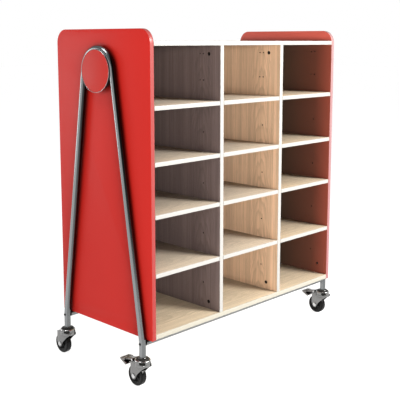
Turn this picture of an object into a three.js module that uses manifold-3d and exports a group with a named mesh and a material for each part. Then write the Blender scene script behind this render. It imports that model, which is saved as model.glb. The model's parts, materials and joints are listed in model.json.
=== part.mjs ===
// Book cart: a case of fifteen cubbies between two laminate side panels. A bent steel tube A-frame
// wraps a round hub near the top of each side panel, and its four legs stand on swivel casters.
// Millimetres, +Z up, the open front towards -Y, left and right as seen from the front.
// The origin is on the floor, under the middle of the bounding box.
import * as THREE from "three";
import { mergeVertices } from "three/addons/utils/BufferGeometryUtils.js";
import Module from "manifold-3d";

const wasm = await Module();
wasm.setup();

// ---- Driving dimensions -------------------------------------------------------------------------

const GAP = 0.3; // between pieces that bear on each other

// Case
const CASE_WIDTH = 1022; // over the outer faces of the side panels
const CASE_DEPTH = 500;
const CASE_TOP = 1219;
const CASE_BOTTOM = 169; // lower edge of the side panels
const TOP_CORNER_RADIUS = 48;
const SIDE_THICKNESS = 17;
const DIVIDER_THICKNESS = 17;
const TOP_SURFACE = 1178; // the side panels rise above it as two low walls
const TOP_THICKNESS = 15;
const FLOOR_SURFACE = 189; // upper face of the bottom panel
const BOTTOM_THICKNESS = 17.5;
const SHELF_THICKNESS = 15;
const BACK_THICKNESS = 6;
const SHELF_TOPS = [401, 603, 781, 968];
const SHELF_END_GAP = 1.5; // to the panel or divider at each end of a shelf
const COLUMNS = 3;

// A-frame, one at each side
const TUBE_RADIUS = 11.75;
const TUBE_WALL = 1.75;
const TUBE_OFFSET = 12.9; // from the side panel's outer face to the centre line
const BEND_CENTRE_Z = 1077;
const BEND_RADIUS = 75.5;
const BEND_STEPS = 14;
const LEG_Y = 212.8; // the legs' feet, in front of and behind the middle of the case
const KINK_Z = 162; // where the sloping leg turns straight down
const KINK_RADIUS = 60;
const KINK_STEPS = 2;
const LEG_END_Z = 109.4;
const TUBE_SIDES = 12;

// Hub and disc that hold the bend
const HUB_RADIUS = 62.5;
const HUB_WALL = 3;
const HUB_BOSS_RADIUS = 14;
const DISC_RADIUS = 74.3;
const DISC_BACK = 25; // from the side panel's outer face
const DISC_FRONT = 28;
const DISC_FLOOR = 1.4; // plate under the red insert
const DISC_RIM = 1.4;
const DISC_SIDES = 28;

// Cross rails and fasteners
const RAIL_RADIUS = 10.8;
const RAIL_WALL = 1.5;
const RAIL_Z = 157.2;
const RAIL_BOLT_GRIP = 12; // how far a rail bolt reaches past the leg
const FRAME_BOLT_Z = 230;
const FRAME_BOLT_SHORT = 4; // a frame bolt ends this far before the leg's centre line
const BOLT_RADIUS = 3;
const BOLT_HEAD_RADIUS = 4.8;
const BOLT_HEAD_HEIGHT = 2.6;
const BOLT_SIDES = 10;

// Caster
const WHEEL_RADIUS = 37.5;
const WHEEL_TRAIL = 28; // from the swivel axis back to the axle
const TYRE_HALF_WIDTH = 11;
const TYRE_INNER_RADIUS = 26.3;
const TYRE_SIDES = 32;
const WHEEL_HUB_RADIUS = 26;
const WHEEL_HUB_SIDES = 20;
const AXLE_RADIUS = 4;
const AXLE_HEAD_RADIUS = 8;
const PIN_HEAD_HEIGHT = 3.2;
const FORK_HALF_GAP = 15.5;
const FORK_PLATE = 2.5;
const CROWN_RADIUS = 28;
const CROWN_BOTTOM = 79;
const CROWN_TOP = 102;
const CROWN_FLOOR = 84; // underside of the plate that the king pin goes through
const CROWN_FLOOR_THICKNESS = 3;
const CROWN_SIDES = 24;
const CROWN_SLOT = { width: 22, height: 9, depth: 12, z: 94 };
const KING_PIN_RADIUS = 6;
const KING_PIN_HEAD = { radius: 9, height: 4 };
const RACE_RADIUS = 22;
const STEM_RADIUS = 9.4;
const STEM_TOP = 150;
const STEM_SIDES = 16;

// Brake pedal on the front casters; places are given from the swivel axis
const PEDAL_PIVOT = { y: 34, z: 95 };
const PEDAL_PIN_RADIUS = 2.5;
const PEDAL_BARREL_RADIUS = 4.5;
const PEDAL_NECK_HALF_WIDTH = 12.4;
const PEDAL_HALF_WIDTH = 20;
const PEDAL_PAD_START = 72; // where the neck widens into the pad
const PEDAL_LIP_TOP = 79; // the lip under the pad is wide all along
const PEDAL_EAR_DROP = 9; // from the pivot down to the ears' feet in the web

// ---- Places worked out from them ----------------------------------------------------------------

const HALF_WIDTH = CASE_WIDTH / 2;
const HALF_DEPTH = CASE_DEPTH / 2;
const INNER_HALF_WIDTH = HALF_WIDTH - SIDE_THICKNESS;
const TUBE_X = HALF_WIDTH + TUBE_OFFSET;
const COLUMN_WIDTH =
  (2 * INNER_HALF_WIDTH - (COLUMNS - 1) * DIVIDER_THICKNESS) / COLUMNS;
const BACK_FRONT = HALF_DEPTH - BACK_THICKNESS; // front face of the back panel
const CEILING = TOP_SURFACE - TOP_THICKNESS;
const LEG_RISE = BEND_CENTRE_Z - KINK_Z;
const LEG_LEAN =
  Math.atan2(LEG_Y, LEG_RISE) - Math.asin(BEND_RADIUS / Math.hypot(LEG_Y, LEG_RISE));
const FRAME_BOLT_Y = LEG_Y - (FRAME_BOLT_Z - KINK_Z) * Math.tan(LEG_LEAN);
const REAR_REACH = LEG_Y + WHEEL_TRAIL + WHEEL_RADIUS;
const ORIGIN_Y = (REAR_REACH - HALF_DEPTH) / 2;

const X = new THREE.Vector3(1, 0, 0);
const Y = new THREE.Vector3(0, 1, 0);
const Z = new THREE.Vector3(0, 0, 1);
// Takes an outline drawn in Y and Z, and extruded, to its place: its depth runs along +X.
const SIDE_ON = new THREE.Matrix4().makeBasis(Y, Z, X);

// ---- Finishes -----------------------------------------------------------------------------------

const FINISHES = {
  red: [0xcf4139, 0.45, 0],
  wood: [0xcfae85, 0.6, 0],
  tube: [0x9a9c9c, 0.35, 0.9],
  rim: [0xc8c8c8, 0.3, 0.9],
  bolt: [0x77797a, 0.35, 0.9],
  caster: [0x98999a, 0.4, 0.85],
  bearing: [0x2a2a2a, 0.5, 0.6],
  wheelHub: [0x9da0a0, 0.55, 0],
  tyre: [0x1c1c1d, 0.7, 0],
  pedal: [0x6b6664, 0.5, 0.4],
};

function finish(name) {
  const [color, roughness, metalness] = FINISHES[name];
  return new THREE.MeshStandardMaterial({ color, roughness, metalness });
}

const group = new THREE.Group();
group.position.y = -ORIGIN_Y;

function place(parent, name, geometry, finishName, [x, y, z] = [0, 0, 0]) {
  const mesh = new THREE.Mesh(geometry, finish(finishName));
  mesh.name = name;
  mesh.position.set(x, y, z);
  parent.add(mesh);
}

// ---- Shape helpers ------------------------------------------------------------------------------

function block([x0, x1], [y0, y1], [z0, z1]) {
  const box = new THREE.BoxGeometry(x1 - x0, y1 - y0, z1 - z0);
  return box.translate((x0 + x1) / 2, (y0 + y1) / 2, (z0 + z1) / 2);
}

// A turned piece from [radius, height] pairs that run anticlockwise. Its flats, not its corners,
// are at the stated radius where flats is true, so that a wheel stands on a flat.
function turned(profile, sides, flats = false) {
  const grow = flats ? 1 / Math.cos(Math.PI / sides) : 1;
  const points = profile.map(([r, h]) => new THREE.Vector2(r * grow, h));
  const start = flats ? Math.PI / sides : 0;
  return new THREE.LatheGeometry(points, sides, start).rotateX(Math.PI / 2);
}

function turnedRing(profile, sides, flats = false) {
  return turned([...profile, profile[0]], sides, flats);
}

// Turns a piece made along +Z to lie along X, towards the side given as -1 or 1.
function alongX(geometry, side = 1) {
  return geometry.rotateY((side * Math.PI) / 2);
}

function outline(points) {
  return new THREE.Shape(points.map(([a, b]) => new THREE.Vector2(a, b)));
}

function extruded(shape, depth, curveSegments = 6) {
  return new THREE.ExtrudeGeometry(shape, { depth, bevelEnabled: false, curveSegments });
}

function ringShape(outer, inner) {
  const shape = new THREE.Shape();
  shape.absarc(0, 0, outer, 0, 2 * Math.PI);
  const hole = new THREE.Path();
  hole.absarc(0, 0, inner, 0, 2 * Math.PI);
  shape.holes.push(hole);
  return shape;
}

function solid(geometry) {
  const plain = geometry.clone();
  plain.deleteAttribute("normal");
  plain.deleteAttribute("uv");
  const merged = mergeVertices(plain, 1e-3);
  const vertProperties = merged.attributes.position.array;
  const triVerts = new Uint32Array(merged.index.array);
  return new wasm.Manifold(new wasm.Mesh({ numProp: 3, vertProperties, triVerts }));
}

function surface(manifold) {
  const { vertProperties, triVerts } = manifold.getMesh();
  const geometry = new THREE.BufferGeometry();
  geometry.setAttribute("position", new THREE.BufferAttribute(vertProperties, 3));
  geometry.setIndex(new THREE.BufferAttribute(triVerts, 1));
  geometry.computeVertexNormals();
  return geometry;
}

// A round drill along X through (y, z), from x0 to x1.
function drill(radius, [x0, x1], y, z) {
  const bit = new THREE.CylinderGeometry(radius, radius, x1 - x0, BOLT_SIDES);
  return solid(bit.rotateZ(Math.PI / 2).translate((x0 + x1) / 2, y, z));
}

// ---- Case ---------------------------------------------------------------------------------------

function sidePanel(side) {
  const r = TOP_CORNER_RADIUS;
  const shape = new THREE.Shape();
  shape.moveTo(-HALF_DEPTH, CASE_BOTTOM);
  shape.lineTo(HALF_DEPTH, CASE_BOTTOM);
  shape.absarc(HALF_DEPTH - r, CASE_TOP - r, r, 0, Math.PI / 2);
  shape.absarc(-HALF_DEPTH + r, CASE_TOP - r, r, Math.PI / 2, Math.PI);
  const inner = side < 0 ? -HALF_WIDTH : INNER_HALF_WIDTH;
  const panel = extruded(shape, SIDE_THICKNESS).applyMatrix4(SIDE_ON).translate(inner, 0, 0);
  const reach = [inner - 1, inner + SIDE_THICKNESS + 1];
  const front = drill(BOLT_RADIUS + GAP, reach, -FRAME_BOLT_Y, FRAME_BOLT_Z);
  const rear = drill(BOLT_RADIUS + GAP, reach, FRAME_BOLT_Y, FRAME_BOLT_Z);
  return surface(solid(panel).subtract(front).subtract(rear));
}

function addCase() {
  const between = [-INNER_HALF_WIDTH + GAP, INNER_HALF_WIDTH - GAP];
  const upright = [FLOOR_SURFACE + GAP, CEILING - GAP];
  const beforeBack = [-HALF_DEPTH, BACK_FRONT - GAP];
  place(group, "side_panel_left", sidePanel(-1), "red");
  place(group, "side_panel_right", sidePanel(1), "red");
  place(group, "top_panel", block(between, [-HALF_DEPTH, HALF_DEPTH], [CEILING, TOP_SURFACE]), "wood");
  place(
    group,
    "bottom_panel",
    block(between, [-HALF_DEPTH, HALF_DEPTH], [FLOOR_SURFACE - BOTTOM_THICKNESS, FLOOR_SURFACE]),
    "wood",
  );
  place(group, "back_panel", block(between, [BACK_FRONT, HALF_DEPTH], upright), "wood");
  for (const [name, side] of [["left", -1], ["right", 1]]) {
    const middle = (side * (COLUMN_WIDTH + DIVIDER_THICKNESS)) / 2;
    const across = [middle - DIVIDER_THICKNESS / 2, middle + DIVIDER_THICKNESS / 2];
    place(group, `divider_${name}`, block(across, beforeBack, upright), "wood");
  }
  for (let column = 0; column < COLUMNS; column += 1) {
    const x0 = -INNER_HALF_WIDTH + column * (COLUMN_WIDTH + DIVIDER_THICKNESS);
    const across = [x0 + SHELF_END_GAP, x0 + COLUMN_WIDTH - SHELF_END_GAP];
    SHELF_TOPS.forEach((top, level) => {
      const shelf = block(across, beforeBack, [top - SHELF_THICKNESS, top]);
      place(group, `shelf_column${column + 1}_level${level + 1}`, shelf, "wood");
    });
  }
}

// ---- A-frames -----------------------------------------------------------------------------------

// A path through chosen stations, so that a straight leg takes one step and a bend takes several.
class StationPath extends THREE.Curve {
  constructor(stations) {
    super();
    this.stations = stations;
  }

  station(u) {
    return Math.round(u * (this.stations.length - 1));
  }

  getPointAt(u) {
    return this.stations[this.station(u)].clone();
  }

  getTangentAt(u) {
    const i = this.station(u);
    const here = this.stations[i];
    const before = this.stations[i - 1] ?? here;
    const after = this.stations[i + 1] ?? here;
    const arriving = here.clone().sub(before).normalize();
    const leaving = after.clone().sub(here).normalize();
    return arriving.add(leaving).normalize();
  }
}

function arcStations(y, z, radius, from, to, steps) {
  return Array.from({ length: steps + 1 }, (_, i) => {
    const angle = from + ((to - from) * i) / steps;
    return new THREE.Vector3(0, y + radius * Math.cos(angle), z + radius * Math.sin(angle));
  });
}

// Up the front leg, over the hub and down the rear leg.
function framePath() {
  const kinkY = LEG_Y - KINK_RADIUS;
  const kinkZ = KINK_Z - KINK_RADIUS * Math.tan(LEG_LEAN / 2);
  return new StationPath([
    new THREE.Vector3(0, -LEG_Y, LEG_END_Z),
    ...arcStations(-kinkY, kinkZ, KINK_RADIUS, Math.PI, Math.PI - LEG_LEAN, KINK_STEPS),
    ...arcStations(0, BEND_CENTRE_Z, BEND_RADIUS, Math.PI - LEG_LEAN, LEG_LEAN, BEND_STEPS),
    ...arcStations(kinkY, kinkZ, KINK_RADIUS, LEG_LEAN, 0, KINK_STEPS),
    new THREE.Vector3(0, LEG_Y, LEG_END_Z),
  ]);
}

function aFrame(side) {
  const path = framePath();
  const tube = new THREE.ExtrudeGeometry(ringShape(TUBE_RADIUS, TUBE_RADIUS - TUBE_WALL), {
    steps: path.stations.length - 1,
    extrudePath: path,
    curveSegments: TUBE_SIDES / 2,
  });
  let frame = solid(tube);
  const through = [-TUBE_RADIUS - 1, TUBE_RADIUS + 1];
  const inward = side < 0 ? [0, TUBE_RADIUS + 1] : [-TUBE_RADIUS - 1, 0];
  for (const end of [-1, 1]) {
    frame = frame.subtract(drill(BOLT_RADIUS + GAP, through, end * LEG_Y, RAIL_Z));
    frame = frame.subtract(drill(BOLT_RADIUS + GAP, inward, end * FRAME_BOLT_Y, FRAME_BOLT_Z));
  }
  return surface(frame);
}

// The cup that the tube bends round, with the dish that holds the red insert on its outer end.
// Its height runs out from the side panel's face.
function frameHub() {
  const cupFloor = DISC_BACK - HUB_WALL;
  const dishFloor = DISC_BACK + DISC_FLOOR;
  const profile = [
    [0, GAP],
    [HUB_BOSS_RADIUS, GAP],
    [HUB_BOSS_RADIUS, cupFloor],
    [HUB_RADIUS - HUB_WALL, cupFloor],
    [HUB_RADIUS - HUB_WALL, GAP],
    [HUB_RADIUS, GAP],
    [HUB_RADIUS, DISC_BACK],
    [DISC_RADIUS, DISC_BACK],
    [DISC_RADIUS, DISC_FRONT],
    [DISC_RADIUS - DISC_RIM, DISC_FRONT],
    [DISC_RADIUS - DISC_RIM, dishFloor],
    [0, dishFloor],
  ];
  return turned(profile, DISC_SIDES);
}

function discInsert() {
  const radius = DISC_RADIUS - DISC_RIM - GAP;
  const back = DISC_BACK + DISC_FLOOR + GAP;
  const front = DISC_FRONT - GAP;
  return turned([[0, back], [radius, back], [radius, front], [0, front]], DISC_SIDES);
}

// A round-headed bolt: the head's underside is at height 0 and the shank points down.
function bolt(length) {
  const r = BOLT_HEAD_RADIUS;
  const h = BOLT_HEAD_HEIGHT;
  const profile = [
    [0, -length],
    [BOLT_RADIUS, -length],
    [BOLT_RADIUS, 0],
    [r, 0],
    [r, h * 0.4],
    [r * 0.7, h],
    [0, h],
  ];
  return turned(profile, BOLT_SIDES);
}

function addFrames() {
  const railReach = TUBE_X - TUBE_RADIUS - GAP;
  const frameBoltLength = SIDE_THICKNESS + TUBE_OFFSET - FRAME_BOLT_SHORT;
  for (const [name, side] of [["left", -1], ["right", 1]]) {
    place(group, `a_frame_${name}`, aFrame(side), "tube", [side * TUBE_X, 0, 0]);
    const hubPlace = [side * HALF_WIDTH, 0, BEND_CENTRE_Z];
    place(group, `frame_hub_${name}`, alongX(frameHub(), side), "rim", hubPlace);
    place(group, `disc_insert_${name}`, alongX(discInsert(), side), "red", hubPlace);
    for (const [end, way] of [["front", -1], ["rear", 1]]) {
      // Through the leg into the rail, with its head outside the leg.
      const railBolt = alongX(bolt(2 * TUBE_RADIUS + RAIL_BOLT_GRIP), side);
      const outside = side * (TUBE_X + TUBE_RADIUS + GAP);
      place(group, `rail_bolt_${end}_${name}`, railBolt, "bolt", [outside, way * LEG_Y, RAIL_Z]);
      // Through the side panel into the leg, with its head inside the case.
      const frameBolt = alongX(bolt(frameBoltLength), -side);
      const inside = side * (INNER_HALF_WIDTH - GAP);
      const at = [inside, way * FRAME_BOLT_Y, FRAME_BOLT_Z];
      place(group, `frame_bolt_${end}_${name}`, frameBolt, "bolt", at);
    }
  }
  for (const [name, way] of [["front_rail", -1], ["rear_rail", 1]]) {
    const section = ringShape(RAIL_RADIUS, RAIL_RADIUS - RAIL_WALL);
    const tube = alongX(extruded(section, 2 * railReach, 8).translate(0, 0, -railReach));
    place(group, name, tube, "tube", [0, way * LEG_Y, RAIL_Z]);
  }
}

// ---- Casters ------------------------------------------------------------------------------------
// Each is made round its swivel axis, standing on the floor and trailing towards +Y.

// Plug for the leg, upper race and king pin, which the fork turns on.
function casterStem() {
  const raceBottom = CROWN_FLOOR + CROWN_FLOOR_THICKNESS + GAP;
  const headBottom = CROWN_FLOOR - KING_PIN_HEAD.height;
  const profile = [
    [0, headBottom],
    [KING_PIN_HEAD.radius, headBottom],
    [KING_PIN_HEAD.radius, CROWN_FLOOR - GAP],
    [KING_PIN_RADIUS, CROWN_FLOOR - GAP],
    [KING_PIN_RADIUS, raceBottom],
    [RACE_RADIUS, raceBottom],
    [RACE_RADIUS, LEG_END_Z - 2],
    [RACE_RADIUS - 2, LEG_END_Z - GAP],
    [STEM_RADIUS, LEG_END_Z - GAP],
    [STEM_RADIUS, STEM_TOP],
    [0, STEM_TOP],
  ];
  return turned(profile, STEM_SIDES);
}

function forkCrown() {
  const inner = CROWN_RADIUS - FORK_PLATE;
  const hole = KING_PIN_RADIUS + GAP + 0.1;
  const lip = RACE_RADIUS + 1.2;
  const profile = [
    [hole, CROWN_FLOOR],
    [inner, CROWN_FLOOR],
    [inner, CROWN_BOTTOM],
    [CROWN_RADIUS, CROWN_BOTTOM],
    [CROWN_RADIUS, CROWN_TOP - 5],
    [CROWN_RADIUS - 1.5, CROWN_TOP - 1.5],
    [lip, CROWN_TOP],
    [lip, CROWN_TOP - 2.5],
    [inner, CROWN_TOP - 6],
    [inner, CROWN_FLOOR + CROWN_FLOOR_THICKNESS],
    [hole, CROWN_FLOOR + CROWN_FLOOR_THICKNESS],
  ];
  return solid(turnedRing(profile, CROWN_SIDES));
}

// A side plate's outline in Y and Z: it narrows from the crown to the axle.
function forkPlateShape() {
  const shape = outline([
    [45, 85],
    [28, 90.5],
    [20, 92],
    [-20, 92],
    [-27, 86],
    [-27, 79.5],
    [-12, 68.5],
    [11.5, 46],
    [19, 31.5],
  ]);
  shape.absarc(WHEEL_TRAIL + 1, WHEEL_RADIUS - 1.5, 11, Math.PI * 1.17, Math.PI * 1.86);
  shape.lineTo(45, 46);
  return shape;
}

function fork(braked) {
  const outer = FORK_HALF_GAP + FORK_PLATE;
  const plate = extruded(forkPlateShape(), FORK_PLATE, 3).applyMatrix4(SIDE_ON);
  const web = extruded(outline([[45, 85], [24, 91.5], [24, 88.5], [45, 82]]), 2 * outer);
  const roomRadius = CROWN_RADIUS - FORK_PLATE;
  const roomBottom = CROWN_FLOOR + CROWN_FLOOR_THICKNESS;
  const roomHeight = 2 * (CROWN_TOP - roomBottom);
  const raceRoom = new THREE.CylinderGeometry(roomRadius, roomRadius, roomHeight, CROWN_SIDES);
  raceRoom.rotateX(Math.PI / 2).translate(0, 0, roomBottom + roomHeight / 2);
  let body = solid(plate.clone().translate(FORK_HALF_GAP, 0, 0));
  body = body.add(solid(plate.translate(-outer, 0, 0)));
  body = body.add(solid(web.applyMatrix4(SIDE_ON).translate(-outer, 0, 0)));
  body = body.subtract(solid(raceRoom)).add(forkCrown());
  for (const turn of [-1, 1]) {
    const slot = new THREE.BoxGeometry(CROWN_SLOT.width, CROWN_SLOT.depth, CROWN_SLOT.height);
    slot.translate(0, -CROWN_RADIUS, CROWN_SLOT.z).rotateZ((turn * Math.PI) / 4);
    body = body.subtract(solid(slot));
  }
  if (braked) body = body.add(pedalEars());
  const through = [-outer - 1, outer + 1];
  body = body.subtract(drill(AXLE_RADIUS + GAP, through, WHEEL_TRAIL, WHEEL_RADIUS));
  const pinHole = PEDAL_PIN_RADIUS + GAP;
  if (braked) body = body.subtract(drill(pinHole, through, PEDAL_PIVOT.y, PEDAL_PIVOT.z));
  return surface(body);
}

// Two ears that stand on the fork's web and hold the pedal's pin.
function pedalEars() {
  const { y, z } = PEDAL_PIVOT;
  const r = PEDAL_BARREL_RADIUS;
  const shape = new THREE.Shape();
  shape.moveTo(y - r, z - PEDAL_EAR_DROP);
  shape.lineTo(y + r, z - PEDAL_EAR_DROP);
  shape.absarc(y, z, r, 0, Math.PI);
  const inner = PEDAL_NECK_HALF_WIDTH + 2 * GAP;
  const depth = FORK_HALF_GAP + FORK_PLATE - inner;
  const ear = extruded(shape, depth, 4).applyMatrix4(SIDE_ON);
  const right = solid(ear.clone().translate(inner, 0, 0));
  return right.add(solid(ear.translate(-inner - depth, 0, 0)));
}

// A pin with a head at each end, clasping 2 x halfGrip.
function axle(radius, headRadius, halfGrip) {
  const end = halfGrip + PIN_HEAD_HEIGHT;
  const shoulder = halfGrip + PIN_HEAD_HEIGHT * 0.6;
  const half = [
    [radius, halfGrip],
    [headRadius, halfGrip],
    [headRadius, shoulder],
    [headRadius * 0.8, end],
    [0, end],
  ];
  const lower = half.map(([r, h]) => [r, -h]).reverse();
  const profile = [...lower, ...half];
  return alongX(turned(profile, 12));
}

function wheelHub() {
  const r = WHEEL_HUB_RADIUS;
  const half = [
    [AXLE_RADIUS + GAP, 15],
    [8, 15],
    [9, 9],
    [r - 5, 7],
    [r - 3, 10],
    [r, 10],
  ];
  const lower = half.map(([radius, h]) => [radius, -h]);
  return alongX(turnedRing([...lower, ...half.reverse()], WHEEL_HUB_SIDES));
}

function tyre() {
  const w = TYRE_HALF_WIDTH;
  const r = WHEEL_RADIUS;
  const half = [
    [TYRE_INNER_RADIUS, w - 0.6],
    [r - 4, w],
    [r - 1.2, w - 2.2],
    [r, w - 5.5],
  ];
  const lower = half.map(([radius, h]) => [radius, -h]);
  return alongX(turnedRing([...lower, ...half.reverse()], TYRE_SIDES, true));
}

// A barrel on the pin, a thin neck, and a wide pad with a thick lip turned back under it.
function brakePedal() {
  const { y, z } = PEDAL_PIVOT;
  const profile = outline([
    [y + 1, z - 4.2],
    [48, 88.5],
    [66, 84.6],
    [80, 80.5],
    [63, 74],
    [67.5, 66.5],
    [96, 82],
    [96, 87],
    [73, 89.5],
    [48, 94],
    [y + 1, z + 4.2],
  ]);
  const width = 2 * PEDAL_HALF_WIDTH;
  const slab = solid(extruded(profile, width).applyMatrix4(SIDE_ON).translate(-width / 2, 0, 0));
  const n = PEDAL_NECK_HALF_WIDTH;
  const beside = [n, PEDAL_HALF_WIDTH + 1];
  const notch = block(beside, [0, PEDAL_PAD_START], [PEDAL_LIP_TOP, z + 2 * PEDAL_BARREL_RADIUS]);
  const barrel = drill(PEDAL_BARREL_RADIUS, [-n, n], y, z);
  const bore = drill(PEDAL_PIN_RADIUS + GAP, [-n - 1, n + 1], y, z);
  let body = slab.subtract(solid(notch.clone()));
  body = body.subtract(solid(notch.rotateZ(Math.PI).translate(0, PEDAL_PAD_START, 0)));
  return surface(body.add(barrel).subtract(bore));
}

function addCaster(name, x, y, braked) {
  const caster = new THREE.Group();
  caster.position.set(x, y, 0);
  group.add(caster);
  const wheelPlace = [0, WHEEL_TRAIL, WHEEL_RADIUS];
  const grip = FORK_HALF_GAP + FORK_PLATE + GAP;
  place(caster, `caster_stem_${name}`, casterStem(), "bearing");
  place(caster, `caster_fork_${name}`, fork(braked), "caster");
  place(caster, `wheel_axle_${name}`, axle(AXLE_RADIUS, AXLE_HEAD_RADIUS, grip), "bolt", wheelPlace);
  place(caster, `wheel_hub_${name}`, wheelHub(), "wheelHub", wheelPlace);
  place(caster, `tyre_${name}`, tyre(), "tyre", wheelPlace);
  if (!braked) return;
  const pin = axle(PEDAL_PIN_RADIUS, PEDAL_PIN_RADIUS + 1.5, grip);
  place(caster, `brake_pin_${name}`, pin, "bolt", [0, PEDAL_PIVOT.y, PEDAL_PIVOT.z]);
  place(caster, `brake_pedal_${name}`, brakePedal(), "pedal");
}

addCase();
addFrames();
for (const [side, x] of [["left", -TUBE_X], ["right", TUBE_X]]) {
  addCaster(`front_${side}`, x, -LEG_Y, true);
  addCaster(`rear_${side}`, x, LEG_Y, false);
}

export default group;
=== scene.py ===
"""Looks for the book cart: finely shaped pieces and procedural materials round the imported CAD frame."""

import json
import math

import bmesh
import bpy
from mathutils import Matrix, Vector


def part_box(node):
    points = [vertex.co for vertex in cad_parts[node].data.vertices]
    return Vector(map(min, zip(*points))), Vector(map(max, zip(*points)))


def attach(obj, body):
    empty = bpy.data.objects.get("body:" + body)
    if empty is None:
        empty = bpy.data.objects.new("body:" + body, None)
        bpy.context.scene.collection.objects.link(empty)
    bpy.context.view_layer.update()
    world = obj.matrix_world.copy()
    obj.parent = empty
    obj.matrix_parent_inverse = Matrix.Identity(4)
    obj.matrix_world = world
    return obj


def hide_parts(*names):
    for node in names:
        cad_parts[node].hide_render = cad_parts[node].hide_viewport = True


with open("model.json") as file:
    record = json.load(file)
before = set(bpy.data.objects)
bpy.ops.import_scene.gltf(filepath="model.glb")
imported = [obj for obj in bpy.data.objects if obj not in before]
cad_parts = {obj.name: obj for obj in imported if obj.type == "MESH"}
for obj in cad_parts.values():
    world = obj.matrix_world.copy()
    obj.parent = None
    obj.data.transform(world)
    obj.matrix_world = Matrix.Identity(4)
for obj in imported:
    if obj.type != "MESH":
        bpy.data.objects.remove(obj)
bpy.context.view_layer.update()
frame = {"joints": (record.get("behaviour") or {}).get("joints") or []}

MM = 0.001
TO_METRES = Matrix.Scale(MM, 4)
ONTO_X = Matrix.Rotation(math.radians(90), 4, "Y")

# ---- Camera ----------------------------------------------------------------------------------------

CAMERA_PLACE = (-2.2421, -2.1720, 1.1806)
CAMERA_YAW = 45.795  # degrees from +Y towards +X
CAMERA_PITCH = 8.571  # degrees below the horizon
CAMERA_LENS = 71.489
CAMERA_SHIFT_Y = -0.10


def make_camera():
    data = bpy.data.cameras.new("camera")
    data.lens = CAMERA_LENS
    data.sensor_width = 36
    data.shift_y = CAMERA_SHIFT_Y
    data.dof.use_dof = False
    camera = bpy.data.objects.new("camera", data)
    camera.location = CAMERA_PLACE
    camera.rotation_euler = (math.radians(90 - CAMERA_PITCH), 0, math.radians(-CAMERA_YAW))
    bpy.context.scene.collection.objects.link(camera)
    bpy.context.scene.camera = camera


make_camera()

# ---- Measures taken from the frame -----------------------------------------------------------------

TOP_LOW, TOP_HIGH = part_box("top_panel")
FLOOR_LOW, FLOOR_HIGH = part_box("bottom_panel")
CASE_FRONT = TOP_LOW.y
BACK_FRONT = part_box("back_panel")[0].y
JOINTS = {joint["name"]: joint for joint in frame["joints"]}


def joint_place(name):
    return Vector(JOINTS[name]["pos_m"])


# ---- Node materials --------------------------------------------------------------------------------


class Finish:
    """A material under construction: its nodes, its links and its Principled shader."""

    def __init__(self, name, **constants):
        self.material = bpy.data.materials.new(name)
        self.material.use_nodes = True
        self.tree = self.material.node_tree
        self.shader = self.tree.nodes["Principled BSDF"]
        for socket, value in constants.items():
            self.shader.inputs[socket.replace("_", " ")].default_value = value
        self.coordinates = self.node("ShaderNodeTexCoord").outputs["Object"]

    def node(self, kind, inputs=None, **settings):
        """A new node, each input of which is a value or another node's output."""
        made = self.tree.nodes.new(kind)
        for key, value in settings.items():
            setattr(made, key, value)
        for socket, value in (inputs or {}).items():
            if isinstance(value, bpy.types.NodeSocket):
                self.tree.links.new(value, made.inputs[socket])
            else:
                made.inputs[socket].default_value = value
        return made

    def mapped(self, scale, place=(0, 0, 0), turn=(0, 0, 0), source=None):
        """The frame's coordinates, or another vector, turned, stretched and moved."""
        inputs = {
            "Vector": source or self.coordinates,
            "Location": place,
            "Rotation": turn,
            "Scale": scale,
        }
        return self.node("ShaderNodeMapping", inputs).outputs["Vector"]

    def noise(self, vector, scale, detail=2.0, roughness=0.5, distortion=0.0):
        inputs = {
            "Vector": vector,
            "Scale": scale,
            "Detail": detail,
            "Roughness": roughness,
            "Distortion": distortion,
        }
        return self.node("ShaderNodeTexNoise", inputs).outputs["Fac"]

    def ramp(self, factor, *stops):
        """stops are (position, colour or grey) pairs."""
        made = self.node("ShaderNodeValToRGB", {"Fac": factor})
        elements = made.color_ramp.elements
        while len(elements) < len(stops):
            elements.new(0.5)
        for element, (position, colour) in zip(elements, stops):
            element.position = position
            if not isinstance(colour, tuple):
                colour = (colour,) * 3
            element.color = (*colour, 1)
        return made.outputs["Color"]

    def mix(self, factor, a, b, blend="MIX"):
        made = self.node("ShaderNodeMix", data_type="RGBA", blend_type=blend)
        for socket, value in ((0, factor), (6, a), (7, b)):
            if isinstance(value, bpy.types.NodeSocket):
                self.tree.links.new(value, made.inputs[socket])
            elif isinstance(value, tuple):
                made.inputs[socket].default_value = (*value, 1)
            else:
                made.inputs[socket].default_value = value
        return made.outputs[2]

    def math(self, operation, a, b=0.5):
        made = self.node("ShaderNodeMath", operation=operation)
        for socket, value in ((0, a), (1, b)):
            if isinstance(value, bpy.types.NodeSocket):
                self.tree.links.new(value, made.inputs[socket])
            else:
                made.inputs[socket].default_value = value
        return made.outputs[0]

    def along(self, axis, start, end):
        """0 at start and 1 at end, measured along an axis of the frame."""
        value = self.node("ShaderNodeSeparateXYZ", {"Vector": self.coordinates}).outputs[axis]
        inputs = {"Value": value, "From Min": start, "From Max": end}
        return self.node("ShaderNodeMapRange", inputs).outputs["Result"]

    def openness(self, reach):
        """1 in the open, falling to 0 where another surface stands within reach."""
        return self.node("ShaderNodeAmbientOcclusion", {"Distance": reach}, samples=8).outputs["AO"]

    def spread(self, factor, low, high):
        """Maps 0..1 to low..high."""
        inputs = {"Value": factor, "To Min": low, "To Max": high}
        return self.node("ShaderNodeMapRange", inputs).outputs["Result"]

    def set(self, socket, value):
        self.tree.links.new(value, self.shader.inputs[socket])

    def bump(self, height, distance, strength=1.0):
        inputs = {"Height": height, "Distance": distance, "Strength": strength}
        self.set("Normal", self.node("ShaderNodeBump", inputs).outputs["Normal"])

    def orange_peel(self):
        """The fine ripple of a pressed or painted surface."""
        self.bump(self.noise(self.coordinates, 1500, 2), 0.00005, 0.5)


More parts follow.
